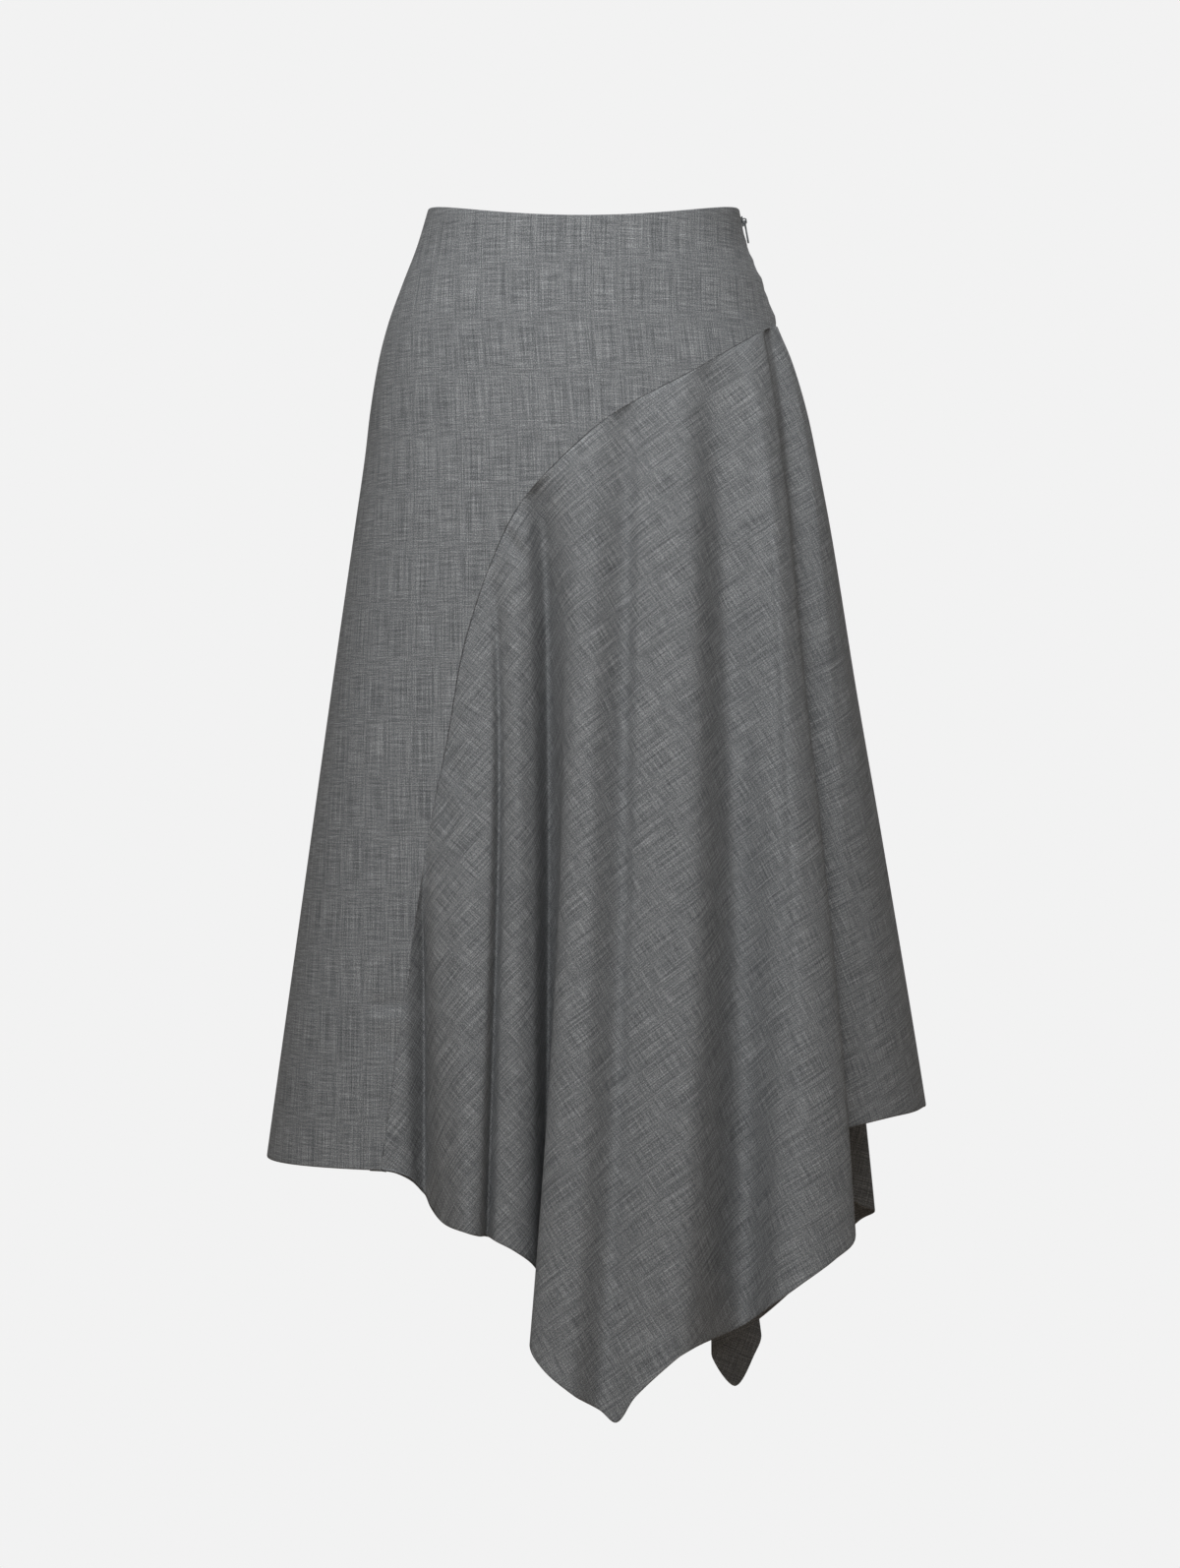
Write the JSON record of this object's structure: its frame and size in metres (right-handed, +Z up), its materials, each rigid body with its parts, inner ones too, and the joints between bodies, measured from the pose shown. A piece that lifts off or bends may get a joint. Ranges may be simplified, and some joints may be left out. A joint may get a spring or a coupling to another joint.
{
  "type": "skirt",
  "caption": "Asymmetric midi skirt in worn form: a fitted straight-grain body with a bias drape hung from a curved seam in front and behind, a pointed hem and a side zip.",
  "frame": {"origin": "middle of the waist opening, level with the top of the side seams, where the wearer's waist holds the skirt up", "axes": "+Z up, the front faces -Y, +X is the side with the zip (the right-hand side seen from the front)"},
  "size_m": [0.5356, 0.382, 0.98],
  "materials": {
    "wool": "grey melange wool suiting, matt, plain weave with uneven threads",
    "zip_tape": "dark grey woven zip tape",
    "zip_metal": "dark grey enamel, semi-gloss"
  },
  "bodies": {
    "skirt": {"front_body": "wool", "front_drape": "wool", "back_body": "wool", "back_drape": "wool", "zip_tape": "zip_tape", "zip_slider": "zip_metal"},
    "pull_tab": {"zip_pull": "zip_metal"}
  },
  "joints": [
    {"name": "pull_tab_hinge", "type": "hinge", "parent": "skirt", "child": "pull_tab", "pos_m": [0.13124, 0, -0.00861], "axis": [0, -1, 0], "range_deg": [0, 150]}
  ]
}
